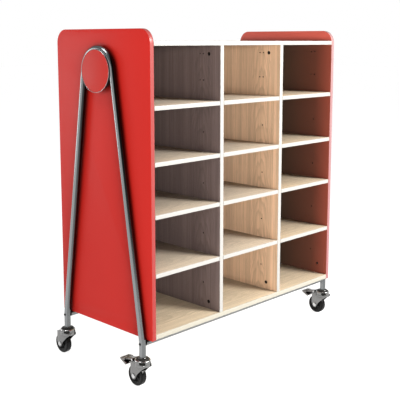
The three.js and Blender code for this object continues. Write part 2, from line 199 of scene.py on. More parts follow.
def scaled(colour, k):
    return tuple(min(1.0, c * k) for c in colour)


# Where the grain runs: the turn that brings that direction onto the texture's own X.
GRAIN_TURNS = {"X": (0, 0, 0), "Z": (0, math.radians(90), 0)}
HEART = -0.17  # the Y round which the grain's arches stand
WANDER = 0.03  # how far the arches stray from it
RING_SPREAD = 1300.0  # rings crossed in a metre from the heart, squared
RING_PACE = 14.0  # rings crossed in a metre along the grain
OAK = (0.83, 0.555, 0.36)
OAK_PALE = (0.70, 0.580, 0.440)
OAK_WARM = (0.68, 0.550, 0.385)
# A darkened copy of the oak for the left upright, standing for the shade on it: painted shade.
SHADED_OAK = (0.205, 0.150, 0.142)


def wood_finish(name, grain, colour, seed, corner_shade_level=0.45, depth=0.68):
    """Wood laminate: fibres, streaks, dark pores, and the arches of a flat-sawn board round Y = HEART.

    depth is how light the dark streaks are, and the level before it how light the painted shade in the deep
    corners is; each is 1 for no darkening.
    """
    f = Finish(name, Specular_IOR_Level=0.3, Sheen_Weight=0.05, Sheen_Roughness=0.5)
    turned = f.mapped((1, 1, 1), (0.37 * seed, 0.23 * seed, 0.61 * seed), GRAIN_TURNS[grain])
    along = f.node("ShaderNodeSeparateXYZ", {"Vector": turned}).outputs["X"]
    across = f.node("ShaderNodeSeparateXYZ", {"Vector": f.coordinates}).outputs["Y"]
    wobble = f.noise(f.mapped((2.2, 8, 8), source=turned), 2.0, 2, 0.5)
    across = f.math("ADD", f.math("SUBTRACT", across, HEART), f.spread(wobble, -WANDER, WANDER))
    phase = f.math("MULTIPLY", f.math("MULTIPLY", across, across), RING_SPREAD)
    phase = f.math("ADD", phase, f.math("MULTIPLY", along, RING_PACE))
    phase = f.math("ADD", phase, f.noise(f.mapped((6, 40, 40), source=turned), 2.0, 3))
    rings = f.ramp(f.math("FRACT", phase), (0.0, 0.0), (0.45, 0.15), (0.85, 1.0), (1.0, 0.0))
    near = f.ramp(f.math("ABSOLUTE", across), (0.04, 1.0), (0.085, 0.15))
    broad = f.noise(f.mapped((0.5, 30, 30), source=turned), 1.5, 3, 0.6)
    streaks = f.noise(f.mapped((0.9, 62, 62), source=turned), 2.0, 4, 0.7)
    fibres = f.noise(f.mapped((4, 420, 420), source=turned), 2.0, 3, 0.6)
    pores = f.ramp(f.noise(f.mapped((22, 950, 950), source=turned), 1.0, 1), (0.60, 0.0), (0.70, 1.0))
    dark = scaled(colour, depth)
    light = scaled(colour, 1.12)
    shade = f.mix(f.ramp(broad, (0.28, 0.35), (0.66, 1.0)), dark, light)
    shade = f.mix(f.math("MULTIPLY", f.ramp(streaks, (0.38, 1.0), (0.60, 0.0)), 0.6), shade, dark)
    lines = f.ramp(f.noise(f.mapped((0.8, 125, 125), source=turned), 2.0, 2, 0.5), (0.54, 0.0), (0.66, 1.0))
    shade = f.mix(f.math("MULTIPLY", lines, 0.55), shade, scaled(dark, 0.8))
    shade = f.mix(f.math("MULTIPLY", f.math("MULTIPLY", rings, near), 0.65), shade, scaled(dark, 0.85))
    shade = f.mix(f.spread(fibres, 0.0, 0.35), shade, light)
    shade = f.mix(f.math("MULTIPLY", pores, 0.38), shade, scaled(dark, 0.6))
    cloud = f.noise(f.coordinates, 3.1, 2)
    shade = f.mix(f.spread(cloud, 0.0, 0.25), shade, scaled(colour, 0.85))
    # Painted shade: the base colour is darkened where another surface stands within 0.28 m, in deep corners
    # and recesses.
    painted_corner_shade = f.ramp(f.openness(0.28), (0.10, corner_shade_level), (0.50, 1.0))
    f.set("Base Color", f.mix(1.0, shade, painted_corner_shade, "MULTIPLY"))
    f.set("Roughness", f.spread(fibres, 0.42, 0.62))
    f.bump(f.math("SUBTRACT", fibres, pores), 0.00012, 0.6)
    return f.material


def band_finish(name, colour):
    """Edge banding with a faint tooth."""
    f = Finish(name, Specular_IOR_Level=0.4)
    streaks = f.noise(f.coordinates, 180, 3)
    f.set("Base Color", f.mix(f.spread(streaks, 0.1, 0.7), colour, scaled(colour, 0.88)))
    f.set("Roughness", f.spread(streaks, 0.38, 0.55))
    f.bump(f.noise(f.coordinates, 900, 2), 0.00006, 0.5)
    return f.material


def red_finish(name, colour, gloss):
    """Red laminate: fine orange peel, slow shade drift, painted shade where other surfaces stand close, and
    handling marks in the sheen.
    """
    f = Finish(name, Specular_IOR_Level=0.12, Coat_Weight=0.01, Coat_Roughness=0.35)
    drift = f.noise(f.coordinates, 2.3, 3, 0.55)
    speck = f.noise(f.coordinates, 900, 2)
    shade = f.mix(f.spread(drift, 0.0, 1.0), scaled(colour, 0.95), scaled(colour, 1.04))
    shade = f.mix(f.spread(speck, 0.0, 0.12), shade, scaled(colour, 1.3))
    # Painted shade: darkened towards a fifth of the red where another surface stands within 32 mm.
    shade = f.mix(f.ramp(f.openness(0.032), (0.3, 0.0), (0.85, 1.0)), scaled(colour, 0.2), shade)
    f.set("Base Color", shade)
    marks = f.noise(f.mapped((1, 1, 2.2)), 7, 4, 0.65, 0.6)
    f.set("Roughness", f.spread(marks, gloss, gloss + 0.14))
    f.orange_peel()
    return f.material


def red_edge_finish(name, low, high):
    """The end panels' rims: a thinner red than the faces, with a painted highlight that pales them towards
    the top.
    """
    f = Finish(name, Specular_IOR_Level=0.3, Coat_Weight=0.02, Coat_Roughness=0.35)
    height = f.along("Z", FLOOR_LOW.z, TOP_HIGH.z)
    drift = f.noise(f.coordinates, 9, 3, 0.55)
    shade = f.ramp(height, (0.0, low), (1.0, high))
    f.set("Base Color", f.mix(f.spread(drift, 0.0, 0.3), shade, scaled(low, 0.85)))
    f.set("Roughness", f.spread(drift, 0.3, 0.42))
    f.orange_peel()
    return f.material


def inner_red_finish():
    """The side panels' faces inside the cubbies: red at the mouth, darkened by painted shade to a dark brown
    in the depth.
    """
    f = Finish("red_inside_painted_shade", Specular_IOR_Level=0.3)
    depth = f.along("Y", CASE_FRONT, BACK_FRONT)
    # Painted shade: the red darkens from the front edge towards the back.
    mouth, middle, deep_shade = (0.27, 0.05, 0.030), (0.12, 0.036, 0.023), (0.056, 0.035, 0.024)
    shade = f.ramp(depth, (0.0, mouth), (0.16, middle), (0.5, deep_shade))
    drift = f.noise(f.mapped((1, 1, 0.3)), 9, 3)
    f.set("Base Color", f.mix(f.spread(drift, 0.0, 0.3), shade, (0.10, 0.06, 0.045)))
    f.set("Roughness", f.spread(drift, 0.4, 0.55))
    f.orange_peel()
    return f.material


def metal_finish(name, colour, roughness, brush, strength=1.0, reach=0.012, front_shaded=False):
    """Metal with drawn marks and painted shade where other surfaces stand close; brush stretches the marks
    along X, Y and Z.

    With the front switch on, painted shade also darkens the side that faces front, the more so the higher up
    it is.
    """
    f = Finish(name, Metallic=1.0)
    marks = f.noise(f.mapped(brush), 1.0, 3, 0.6)
    cloud = f.noise(f.coordinates, 18, 3)
    shade = f.mix(f.spread(cloud, 0.0, 0.6), colour, scaled(colour, 0.82))
    shade = f.mix(f.spread(marks, 0.0, 0.35), shade, scaled(colour, 1.15))
    if front_shaded:
        # Painted shade: the side that faces front is darkened, more so higher up.
        normal = f.node("ShaderNodeNewGeometry").outputs["Normal"]
        facing = f.node("ShaderNodeSeparateXYZ", {"Vector": normal}).outputs["Y"]
        front = f.ramp(f.math("MULTIPLY", facing, -1.0), (0.52, 0.0), (0.74, 0.95))
        higher = f.ramp(f.along("Z", 0.15, 0.9), (0.0, 0.38), (1.0, 1.0))
        shade = f.mix(f.math("MULTIPLY", front, higher), shade, scaled(colour, 0.06))
    # Painted shade: darkened towards an eighth of the colour where another surface stands within reach.
    unshaded = f.ramp(f.openness(reach), (0.25, 0.0), (0.95, 1.0))
    f.set("Base Color", f.mix(unshaded, scaled(colour, 0.12), shade))
    f.set("Roughness", f.spread(f.mix(0.5, marks, cloud), roughness - 0.07, roughness + 0.1))
    f.bump(marks, 0.00004 * strength, 0.5)
    return f.material


def plastic_finish(name, colour, roughness, grain_scale):
    """Moulded plastic with a fine spark-eroded texture and a cloudy tone."""
    f = Finish(name, Specular_IOR_Level=0.15)
    grain = f.noise(f.coordinates, grain_scale, 3)
    cloud = f.noise(f.coordinates, 40, 3)
    f.set("Base Color", f.mix(f.spread(cloud, 0.0, 1.0), scaled(colour, 0.85), scaled(colour, 1.15)))
    f.set("Roughness", f.spread(cloud, roughness - 0.06, roughness + 0.08))
    f.bump(grain, 0.00008, 0.5)
    return f.material


def rubber_finish():
    """Black rubber with dust caught on it."""
    f = Finish("tyre_black", Specular_IOR_Level=0.16)
    dust = f.ramp(f.noise(f.coordinates, 90, 5, 0.7), (0.45, 0.0), (0.75, 1.0))
    f.set("Base Color", f.mix(f.math("MULTIPLY", dust, 0.4), (0.003, 0.003, 0.003), (0.013, 0.012, 0.011)))
    f.set("Roughness", f.spread(dust, 0.22, 0.42))
    f.bump(f.noise(f.coordinates, 1400, 3), 0.0001, 0.5)
    return f.material


def hole_shade_finish():
    """The particle core inside drilled holes, painted near black to stand for the shade in them."""
    f = Finish("hole_painted_shade", Roughness=0.85)
    chips = f.node("ShaderNodeTexVoronoi", {"Vector": f.coordinates, "Scale": 700.0}).outputs["Distance"]
    f.set("Base Color", f.ramp(chips, (0.0, (0.006, 0.004, 0.003)), (0.7, (0.022, 0.014, 0.010))))
    return f.material


# The front bands are a darkened copy and the rear bands a lighter copy of one banding: painted shade and
# painted light for the strong light in front and the weak light behind.
BAND = band_finish("edge_band", (0.33, 0.323, 0.308))
LOW_BAND = band_finish("bottom_band", (0.33, 0.312, 0.262))
REAR_BAND_PAINTED_LIGHT = band_finish("rear_band", (0.62, 0.59, 0.53))
HOLE_SHADE = hole_shade_finish()
RED = red_finish("red_laminate", (0.455, 0.014, 0.009), 0.36)
RED_EDGES = {
    "left": red_edge_finish("red_edge_left", (0.24, 0.022, 0.020), (0.245, 0.050, 0.047)),
    # The right rim is paler throughout: a stronger painted highlight.
    "right": red_edge_finish("red_edge_right", (0.25, 0.10, 0.105), (0.27, 0.165, 0.165)),
}
# A lighter copy of the red for the inner faces above the top panel: painted sheen.
RED_PAINTED_SHEEN = red_finish("red_painted_sheen", (0.50, 0.090, 0.066), 0.36)
RED_DISC = red_finish("red_insert", (0.41, 0.020, 0.014), 0.32)
RED_IN_PAINTED_SHADE = inner_red_finish()
TUBE_METAL = metal_finish("steel_tube", (0.265, 0.277, 0.282), 0.17, (500, 500, 9), reach=0.05, front_shaded=True)
RAIL_METAL = metal_finish("rail_tube", (0.20, 0.205, 0.205), 0.26, (9, 500, 500))
RIM_METAL = metal_finish("hub_metal", (0.50, 0.50, 0.50), 0.24, (260, 260, 260))
BOLT_METAL = metal_finish("zinc_fastener", (0.60, 0.60, 0.60), 0.26, (700, 700, 700))
DARK_BOLT = metal_finish("black_fastener", (0.06, 0.06, 0.06), 0.3, (700, 700, 700))
CASTER_METAL = metal_finish("caster_steel", (0.225, 0.225, 0.223), 0.2, (240, 240, 60), 2.0, 0.022)
# A lighter copy of the caster steel for the crown's lip: painted highlight.
CASTER_LIP_PAINTED_HIGHLIGHT = metal_finish("caster_lip_painted_highlight", (0.62, 0.62, 0.615), 0.2, (240, 240, 60), 1.0, 0.003)
BEARING = plastic_finish("bearing_black", (0.018, 0.017, 0.016), 0.35, 900)
CAM_BLACK = plastic_finish("cam_black", (0.006, 0.006, 0.006), 0.6, 900)
WHEEL_GREY = plastic_finish("wheel_grey", (0.007, 0.007, 0.007), 0.3, 1100)
PEDAL_GREY = metal_finish("pedal_grey", (0.20, 0.188, 0.18), 0.24, (240, 240, 60), 2.0, 0.02)
TYRE = rubber_finish()

# ---- Mesh building ---------------------------------------------------------------------------------


def block(low, high):
    bm = bmesh.new()
    size = Vector(high) - Vector(low)
    middle = (Vector(high) + Vector(low)) / 2
    matrix = Matrix.Translation(middle) @ Matrix.Diagonal((*size, 1))
    bmesh.ops.create_cube(bm, size=1, matrix=matrix)
    return bm


def arc(centre, radius, start, end, steps):
    """Points on an arc, angles in degrees."""
    points = []
    for i in range(steps + 1):
        angle = math.radians(start + (end - start) * i / steps)
        points.append((centre[0] + radius * math.cos(angle), centre[1] + radius * math.sin(angle)))
    return points


def turned(profile, segments=64):
    """A solid of revolution about Z from (radius, height) pairs.

    The profile starts and ends on the axis, or is closed into a ring clear of it.
    """
    bm = bmesh.new()
    rings = []
    for radius, height in profile:
        if radius == 0:
            rings.append([bm.verts.new((0, 0, height))])
            continue
        ring = []
        for i in range(segments):
            angle = 2 * math.pi * i / segments
            ring.append(bm.verts.new((radius * math.cos(angle), radius * math.sin(angle), height)))
        rings.append(ring)
    pairs = list(zip(rings, rings[1:]))
    if len(rings[0]) > 1:
        pairs.append((rings[-1], rings[0]))
    for low, high in pairs:
        for i in range(segments):
            j = (i + 1) % segments
            corners = [low[i % len(low)], low[j % len(low)], high[j % len(high)], high[i % len(high)]]
            unique = list(dict.fromkeys(corners))
            if len(unique) > 2:
                bm.faces.new(unique)
    bmesh.ops.recalc_face_normals(bm, faces=bm.faces)
    return bm


def prism(points, depth, plane):
    """A flat outline extruded by depth. plane says which axes the outline's two numbers are."""
    axes = {"XY": (0, 1, 2), "YZ": (1, 2, 0)}[plane]
    bm = bmesh.new()
    verts = []
    for point in points:
        place = [0.0, 0.0, 0.0]
        place[axes[0]], place[axes[1]] = point
        verts.append(bm.verts.new(place))
    face = bm.faces.new(verts)
    raised = bmesh.ops.extrude_face_region(bm, geom=[face])["geom"]
    offset = Vector((0, 0, 0))
    offset[axes[2]] = depth
    bmesh.ops.translate(bm, verts=[v for v in raised if isinstance(v, bmesh.types.BMVert)], vec=offset)
    bmesh.ops.recalc_face_normals(bm, faces=bm.faces)
    return bm


def rounded(points, radii, steps=6):
    """Rounds each corner of an outline by its own radius."""
    result = []
    count = len(points)
    for i, corner in enumerate(points):
        if radii[i] <= 0:
            result.append(tuple(corner))
            continue
        corner = Vector(corner)
        to_before = (Vector(points[i - 1]) - corner).normalized()
        to_after = (Vector(points[(i + 1) % count]) - corner).normalized()
        half = to_before.angle(to_after) / 2
        reach = radii[i] / math.tan(half)
        middle = corner + (to_before + to_after).normalized() * (radii[i] / math.sin(half))
        start = corner + to_before * reach - middle
        turn = (corner + to_after * reach - middle).angle_signed(start)
        for k in range(steps + 1):
            spoke = start.copy()
            spoke.rotate(Matrix.Rotation(turn * k / steps, 2))
            result.append(tuple(middle + spoke))
    return result


def bevelled(bm, width, segments=2, least_angle=30):
    """Softens every edge that turns by more than least_angle degrees."""
    edges = []
    for edge in bm.edges:
        if edge.is_manifold and edge.calc_face_angle() > math.radians(least_angle):
            edges.append(edge)
    bmesh.ops.bevel(bm, geom=edges, offset=width, segments=segments, profile=0.5, affect="EDGES")
    return bm


def scored(bm, place, normal):
    """Divides the faces that a plane crosses."""
    geom = [*bm.verts, *bm.edges, *bm.faces]
    bmesh.ops.bisect_plane(bm, geom=geom, plane_co=place, plane_no=normal)


def moved(bm, matrix):
    bmesh.ops.transform(bm, matrix=matrix, verts=bm.verts)
    return bm


def shifted(bm, offset):
    return moved(bm, Matrix.Translation(offset))


def merged(*parts):
    """One bmesh that holds separate solids."""
    whole = bmesh.new()
    for part in parts:
        mesh = bpy.data.meshes.new("part")
        part.to_mesh(mesh)
        part.free()
        whole.from_mesh(mesh)
        bpy.data.meshes.remove(mesh)
    return whole


def mesh_of(bm, name="work"):
    mesh = bpy.data.meshes.new(name)
    bm.to_mesh(mesh)
    bm.free()
    return mesh


def combined(bm, other, operation):
    """Joins or cuts two solids and returns the result as a bmesh."""
    objects = []
    for part in (bm, other):
        obj = bpy.data.objects.new("work", mesh_of(part))
        bpy.context.scene.collection.objects.link(obj)
        objects.append(obj)
    modifier = objects[0].modifiers.new("cut", "BOOLEAN")
    modifier.operation = operation
    modifier.solver = "EXACT"
    modifier.object = objects[1]
    graph = bpy.context.evaluated_depsgraph_get()
    done = bmesh.new()
    done.from_mesh(objects[0].evaluated_get(graph).to_mesh())
    for obj in objects:
        mesh = obj.data
        bpy.data.objects.remove(obj)
        bpy.data.meshes.remove(mesh)
    return done


def add_piece(name, bm, materials, body, nodes=(), smooth=35):
    """A piece that rides on a body and stands for nodes; edges under smooth degrees are shaded round."""
    mesh = mesh_of(bm, name)
    for material in materials:
        mesh.materials.append(material)
    for polygon in mesh.polygons:
        polygon.use_smooth = True
    mesh.set_sharp_from_angle(angle=math.radians(smooth))
    obj = bpy.data.objects.new(name, mesh)
    bpy.context.scene.collection.objects.link(obj)
    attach(obj, body)
    if nodes:
        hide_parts(*nodes)
    return obj


def drills(places, radius, depth, direction):
    """Round cutters along X at (x, y, z) places, each depth long towards +X or, if direction is -1, -X.

    The holes that they cut take the board's material 2.
    """
    bits = []
    for x, y, z in places:
        bit = turned([(0, -MM), (radius, -MM), (radius, depth), (0, depth)], 24)
        bit = moved(bit, Matrix.Translation((x, y, z)) @ Matrix.Rotation(direction * math.pi / 2, 4, "Y"))
        for face in bit.faces:
            face.material_index = 2
        bits.append(bit)
    return merged(*bits)


# ---- Case ------------------------------------------------------------------------------------------

BAND_THICKNESS = 1.0 * MM
BOARD_EDGE = 0.7 * MM
PIN_HOLE = 2.6 * MM
PIN_DEPTH = 9 * MM
DIVIDER_PIN_DEPTH = 7.2 * MM
TOP_CORNER = 48 * MM
FOOT_CORNER = 1.5 * MM
END_PANEL_EDGE = 1.2 * MM
BOLT_HOLE = 3.3 * MM
BOLT_HOLE_LENGTH = 30 * MM
BOLT_LEAD = 2 * MM  # how far outside the panel the cut for a bolt starts
PIN_DROP = 2.6 * MM  # from a shelf's underside to the middle of its pins
PIN_STANDOFF = 1 * MM  # from a shelf's end to the back of its pins' flanges
PIN_INSET = 84 * MM
SECOND_PIN_INSET = 101 * MM
PIN_LEVELS = [287 * MM, 475.5 * MM, 663 * MM, 851 * MM, 1039.5 * MM, 1133.5 * MM]
CONNECTOR_HOLE = 6.8 * MM
CONNECTOR_DEPTH = 12 * MM
CAM_FOOT = 11 * MM  # how deep a cam's foot sits in the divider
CONNECTOR_INSET = 57 * MM
CONNECTOR_LEVELS = [217.5 * MM, 1133 * MM]


def pin_places(x):
    """Pin holes in the front and rear rows, with a second hole beside the two top ones in front."""
    places = []
    for level in PIN_LEVELS:
        places.append((x, CASE_FRONT + PIN_INSET, level))
        places.append((x, BACK_FRONT - PIN_INSET, level))
    for level in PIN_LEVELS[-2:]:
        places.append((x, CASE_FRONT + SECOND_PIN_INSET, level))
    return places


def connector_places(x):
    """Connectors near the front and rear of each divider's foot and head."""
    return [
        (x, y, level)
        for level in CONNECTOR_LEVELS
        for y in (CASE_FRONT + CONNECTOR_INSET, BACK_FRONT - CONNECTOR_INSET)
    ]


def banded_board(node, rear_band=False):
    """A board with softened edges: material 1 on its front edge and, if that is banded, 2 on its rear."""
    low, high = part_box(node)
    bm = bevelled(block(low, high), BOARD_EDGE, 2)
    front = low.y + BAND_THICKNESS
    rear = high.y - BAND_THICKNESS
    for cut in [front, rear] if rear_band else [front]:
        scored(bm, (0, cut, 0), (0, 1, 0))
    for face in bm.faces:
        y = face.calc_center_median().y
        if y < front:
            face.material_index = 1
        elif rear_band and y > rear:
            face.material_index = 2
    return bm


def make_flat_boards():
    top = wood_finish("oak_top", "X", OAK_PALE, 3)
    bottom = wood_finish("oak_bottom", "X", OAK_WARM, 5)
    for node, wood, front in (("top_panel", top, BAND), ("bottom_panel", bottom, LOW_BAND)):
        board = banded_board(node, rear_band=True)
        add_piece(f"board_{node}", board, [wood, front, REAR_BAND_PAINTED_LIGHT], "cart", [node])
    for column in (1, 2, 3):
        for level in (1, 2, 3, 4):
            node = f"shelf_column{column}_level{level}"
            colour = OAK_WARM if column == 3 else OAK_PALE
            wood = wood_finish(f"oak_{node}", "X", colour, 10 * column + level)
            add_piece(f"board_{node}", banded_board(node), [wood, BAND], "cart", [node])


def make_back():
    wood = wood_finish("oak_back", "Z", OAK, 41)
    low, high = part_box("back_panel")
    bm = bevelled(block(low, high), BOARD_EDGE, 2)
    add_piece("case_back", bm, [wood], "cart", ["back_panel"])


def make_dividers():
    # The left upright takes the darkened oak and deeper painted corner shade; the right keeps plain oak and
    # no corner shade.
    for name, colour, seed, corner_shade_level in (("left", SHADED_OAK, 7, 0.40), ("right", OAK, 2, 1.0)):
        node = f"divider_{name}"
        low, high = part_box(node)
        bm = banded_board(node)
        for x, direction in ((low.x, 1), (high.x, -1)):
            bm = combined(bm, drills(pin_places(x), PIN_HOLE, DIVIDER_PIN_DEPTH, direction), "DIFFERENCE")
        connectors = drills(connector_places(low.x), CONNECTOR_HOLE, CONNECTOR_DEPTH, 1)
        bm = combined(bm, connectors, "DIFFERENCE")
        wood = wood_finish(f"oak_{node}", "Z", colour, seed, corner_shade_level, depth=0.52)
        add_piece(f"upright_{name}", bm, [wood, BAND, HOLE_SHADE], "cart", [node])


def make_side_panels():
    """The red end panels: material 1 on the rim, 3 inside the cubbies and 4 above the top panel."""
    for name, inward in (("left", 1), ("right", -1)):
        node = f"side_panel_{name}"
        low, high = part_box(node)
        shape = [(low.y, low.z), (high.y, low.z), (high.y, high.z), (low.y, high.z)]
        outline = rounded(shape, [FOOT_CORNER, FOOT_CORNER, TOP_CORNER, TOP_CORNER], 16)
        bm = shifted(prism(outline, high.x - low.x, "YZ"), (low.x, 0, 0))
        bm = bevelled(bm, END_PANEL_EDGE, 3, 60)
        for cut in (FLOOR_HIGH.z, TOP_LOW.z):
            scored(bm, (0, 0, cut), (0, 0, 1))
        for face in bm.faces:
            if abs(face.normal.x) < 0.5:
                face.material_index = 1
            elif face.normal.x * inward > 0:
                height = face.calc_center_median().z
                if height > TOP_LOW.z:
                    face.material_index = 4
                elif height > FLOOR_HIGH.z:
                    face.material_index = 3
        face_x = high.x if inward > 0 else low.x
        bm = combined(bm, drills(pin_places(face_x), PIN_HOLE, PIN_DEPTH, -inward), "DIFFERENCE")
        for end in ("front", "rear"):
            bolt_low, bolt_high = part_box(f"frame_bolt_{end}_{name}")
            centre = (bolt_low + bolt_high) / 2
            place = [(low.x - BOLT_LEAD, centre.y, centre.z)]
            bm = combined(bm, drills(place, BOLT_HOLE, BOLT_HOLE_LENGTH, 1), "DIFFERENCE")
        materials = [RED, RED_EDGES[name], HOLE_SHADE, RED_IN_PAINTED_SHADE, RED_PAINTED_SHEEN]
        add_piece(f"end_panel_{name}", bm, materials, "cart", [node])


def make_shelf_pins():
    """Four steel pins under each shelf, with a flange against the board; the profile is in millimetres."""
    profile = [(0, -6), (2.4, -6), (2.4, 0), (4, 0), (4, 1), (2.4, 1.3), (2.4, 8), (1.8, 8.6), (0, 8.6)]
    for column in (1, 2, 3):
        pins = []
        for level in (1, 2, 3, 4):
            low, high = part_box(f"shelf_column{column}_level{level}")
            for wall, way in ((low.x - PIN_STANDOFF, 1), (high.x + PIN_STANDOFF, -1)):
                turn = Matrix.Rotation(way * math.pi / 2, 4, "Y")
                for y in (low.y + PIN_INSET, high.y - PIN_INSET):
                    place = Matrix.Translation((wall, y, low.z - PIN_DROP))
                    pins.append(moved(turned(profile, 20), place @ turn @ TO_METRES))
        add_piece(f"shelf_pins_column{column}", merged(*pins), [BOLT_METAL], "cart")


def cam_shape():
    """A cam connector in millimetres: a disc with a cross slot."""
    cam = turned([(0, 0), (6.3, 0), (6.3, 7), (5.8, 7.5), (0, 7.5)], 32)
    for turn in (45, 135):
        slot = moved(block((-4.4, -0.8, 5.5), (4.4, 0.8, 9)), Matrix.Rotation(math.radians(turn), 4, "Z"))
        cam = combined(cam, slot, "DIFFERENCE")
    return cam


def make_connectors():
    """Cam connectors that face left from the bottom of their holes in the dividers."""
    face_left = Matrix.Rotation(-math.pi / 2, 4, "Y")
    for name in ("left", "right"):
        low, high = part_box(f"divider_{name}")
        cams = []
        for place in connector_places(low.x + CAM_FOOT):
            cams.append(moved(cam_shape(), Matrix.Translation(place) @ face_left @ TO_METRES))
        add_piece(f"cam_connectors_{name}", merged(*cams), [CAM_BLACK], "cart")


# ---- A-frames --------------------------------------------------------------------------------------

BEND_RADIUS = 75.5 * MM  # to the middle of the tube, where it goes round the hub
KINK_RADIUS = 60 * MM
KINK_HEIGHT = 162 * MM  # where the sloped leg turns upright
RAIL_WALL = 1.5 * MM
RAIL_EDGE = 0.4 * MM


def swept_tube(points, radius, sides=40, chamfer=0.6 * MM):
    """A round bar through points in a plane of constant X, with softened ends."""
    bm = bmesh.new()
    stations = [Vector(p) for p in points]
    rings = []
    for i, here in enumerate(stations):
        before = stations[max(i - 1, 0)]
        after = stations[min(i + 1, len(stations) - 1)]
        arriving = (here - before).normalized()
        leaving = (after - here).normalized()
        along = (arriving + leaving).normalized()
        across = Vector((1, 0, 0))
        up = across.cross(along).normalized()
        sizes = [radius]
        places = [here]
        if i == 0:
            sizes = [radius - chamfer, radius]
            places = [here, here + along * chamfer]
        elif i == len(stations) - 1:
            sizes = [radius, radius - chamfer]
            places = [here - along * chamfer, here]
        for size, place in zip(sizes, places):
            ring = []
            for k in range(sides):
                angle = 2 * math.pi * k / sides
                spoke = across * math.cos(angle) + up * math.sin(angle)
                ring.append(bm.verts.new(place + spoke * size))
            rings.append(ring)
    for low, high in zip(rings, rings[1:]):
        for k in range(sides):
            n = (k + 1) % sides
            bm.faces.new((low[k], low[n], high[n], high[k]))
    bm.faces.new(rings[0])
    bm.faces.new(rings[-1])
    bmesh.ops.recalc_face_normals(bm, faces=bm.faces)
    return bm


def make_a_frames():
    for side in ("left", "right"):
        low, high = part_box(f"a_frame_{side}")
        x = (low.x + high.x) / 2
        radius = (high.x - low.x) / 2
        middle = (low.y + high.y) / 2
        foot = (high.y - low.y) / 2 - radius
        bend_z = high.z - BEND_RADIUS - radius
        rise = bend_z - KINK_HEIGHT
        lean = math.atan2(foot, rise) - math.asin(BEND_RADIUS / math.hypot(foot, rise))
        lean_degrees = math.degrees(lean)
        low_z = KINK_HEIGHT - KINK_RADIUS * math.tan(lean / 2)
        flat = [(-foot, low.z)]
        flat += arc((-foot + KINK_RADIUS, low_z), KINK_RADIUS, 180, 180 - lean_degrees, 6)
        flat += arc((0, bend_z), BEND_RADIUS, 180 - lean_degrees, lean_degrees, 48)
        flat += arc((foot - KINK_RADIUS, low_z), KINK_RADIUS, lean_degrees, 0, 6)
        flat += [(foot, low.z)]
        bm = swept_tube([(x, middle + y, z) for y, z in flat], radius)
        add_piece(f"bent_frame_{side}", bm, [TUBE_METAL], "cart", [f"a_frame_{side}"])


def make_rails():
    for node in ("front_rail", "rear_rail"):
        low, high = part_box(node)
        middle = (low + high) / 2
        radius = (high.z - low.z) / 2
        half = (high.x - low.x) / 2
        profile = [
            (radius - RAIL_WALL, -half),
            (radius - RAIL_EDGE, -half),
            (radius, -half + RAIL_EDGE),
            (radius, half - RAIL_EDGE),
            (radius - RAIL_EDGE, half),
            (radius - RAIL_WALL, half),
        ]
        bm = moved(turned(profile, 40), Matrix.Translation(middle) @ ONTO_X)
        add_piece(f"cross_tube_{node}", bm, [RAIL_METAL], "cart", [node])


def outward(side):
    """Takes a piece in millimetres, made along +Z from the panel's outer face, to its place round the hub."""
    low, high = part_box(f"frame_hub_{side}")
    centre = (low + high) / 2
    way = -1 if side == "left" else 1
    panel_low, panel_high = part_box(f"side_panel_{side}")
    face = panel_low.x if way < 0 else panel_high.x
    upright = Matrix.Rotation(way * math.pi / 2, 4, "Y")
    return Matrix.Translation((face, centre.y, centre.z)) @ upright @ TO_METRES


def hub_shape():
    """The drum that the tube goes round, its dish, and the dish's rolled rim; the drum is material 1."""
    dish_back = 24.3
    profile = [
        (0, 0.3),
        (14, 0.3),
        (14, 22),
        (59.5, 22),
        (59.5, 0.3),
        (62.5, 0.3),
        (62.5, 24.2),
        (64, 25),
        *arc((73.3, 26), 1, -90, 0, 4),
        *arc((73.7, 27.4), 0.6, 0, 180, 6),
        (73.1, 26.4),
        (0, 26.4),
    ]
    bm = turned(profile, 128)
    for face in bm.faces:
        if face.calc_center_median().z < dish_back:
            face.material_index = 1
    return bm


def insert_shape():
    """The thin disc with a rounded edge that fills the dish."""
    profile = [(0, 26.7), (72.5, 26.7), (72.6, 27.2), *arc((72, 27.1), 0.6, 0, 90, 4), (0, 27.75)]
    return turned(profile, 128)


def make_hubs():
    for side in ("left", "right"):
        hub = moved(hub_shape(), outward(side))
        materials = [RIM_METAL, BEARING]
        add_piece(f"hub_dish_{side}", hub, materials, "cart", [f"frame_hub_{side}"], 28)
        insert = moved(insert_shape(), outward(side))
        add_piece(f"disc_face_{side}", insert, [RED_DISC], "cart", [f"disc_insert_{side}"])


BOLT_HEAD = 2.6  # height in millimetres


def button_bolt(length):
    """A button-head bolt in millimetres with a hexagon socket; the head's underside is at height 0."""
    profile = [
        (0, -length),
        (2.5, -length),
        (3, -length + 0.5),
        (3, 0),
        (4.8, 0),
        (4.8, 0.5),
        (4.3, 1.3),
        (3.2, 2.2),
        (1.8, BOLT_HEAD),
        (0, BOLT_HEAD),
    ]
    socket = turned([(0, 1), (1.9, 1), (1.9, 5), (0, 5)], 6)
    return combined(turned(profile, 32), socket, "DIFFERENCE")


def make_bolts():
    for side, way in (("left", -1), ("right", 1)):
        for end in ("front", "rear"):
            for kind, facing in (("rail_bolt", way), ("frame_bolt", -way)):
                node = f"{kind}_{end}_{side}"
                low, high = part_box(node)
                middle = (low + high) / 2
                head_end = high.x if facing > 0 else low.x
                place = (head_end - facing * BOLT_HEAD * MM, middle.y, middle.z)
                turn = Matrix.Rotation(facing * math.pi / 2, 4, "Y")
                bm = button_bolt((high.x - low.x) / MM - BOLT_HEAD)
                bm = moved(bm, Matrix.Translation(place) @ turn @ TO_METRES)
                add_piece(f"button_{node}", bm, [DARK_BOLT], "cart", [node])


# ---- Casters ---------------------------------------------------------------------------------------
# Made in millimetres round the swivel axis, standing on the floor and trailing towards +Y.


